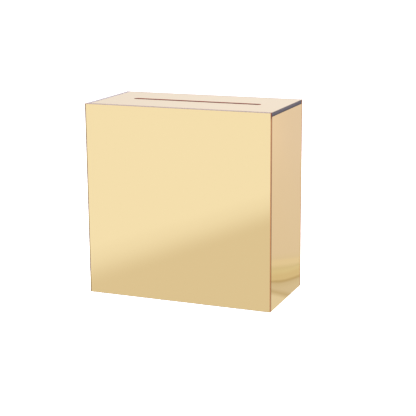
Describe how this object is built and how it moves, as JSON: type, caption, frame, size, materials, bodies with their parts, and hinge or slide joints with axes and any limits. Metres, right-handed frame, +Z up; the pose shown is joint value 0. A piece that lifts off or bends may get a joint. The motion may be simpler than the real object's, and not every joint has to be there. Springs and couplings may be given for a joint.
{
  "type": "wedding card box",
  "caption": "Upright gold mirror box with a loose lid that has a long card slot; the lid drops between the walls and lifts off.",
  "frame": {"origin": "centre of the flat underside, at the bottom of the box", "axes": "+X to the box's right, +Y from the broad front face to the back, +Z up"},
  "size_m": [0.24, 0.12, 0.24],
  "materials": {
    "gold_mirror": "gloss",
    "grey_board": "matte",
    "clear_acrylic": "gloss"
  },
  "bodies": {
    "box": {"front_panel": "gold_mirror", "back_panel": "gold_mirror", "left_mirror_skin": "gold_mirror", "right_mirror_skin": "gold_mirror", "left_core_board": "grey_board", "right_core_board": "grey_board", "base_board": "grey_board", "front_left_post": "clear_acrylic", "front_right_post": "clear_acrylic", "back_left_post": "clear_acrylic", "back_right_post": "clear_acrylic", "front_lid_rail": "clear_acrylic", "back_lid_rail": "clear_acrylic", "left_lid_rail": "clear_acrylic", "front_floor_strip": "clear_acrylic", "back_floor_strip": "clear_acrylic", "left_floor_strip": "clear_acrylic", "right_floor_strip": "clear_acrylic"},
    "lid": {"lid_mirror_skin": "gold_mirror", "lid_core_board": "grey_board", "lid_left_stop": "clear_acrylic", "lid_right_stop": "clear_acrylic"}
  },
  "joints": [
    {"name": "lid_lift", "type": "slide", "parent": "box", "child": "lid", "axis": [0, 0, 1], "range_m": [0, 0.06]}
  ]
}
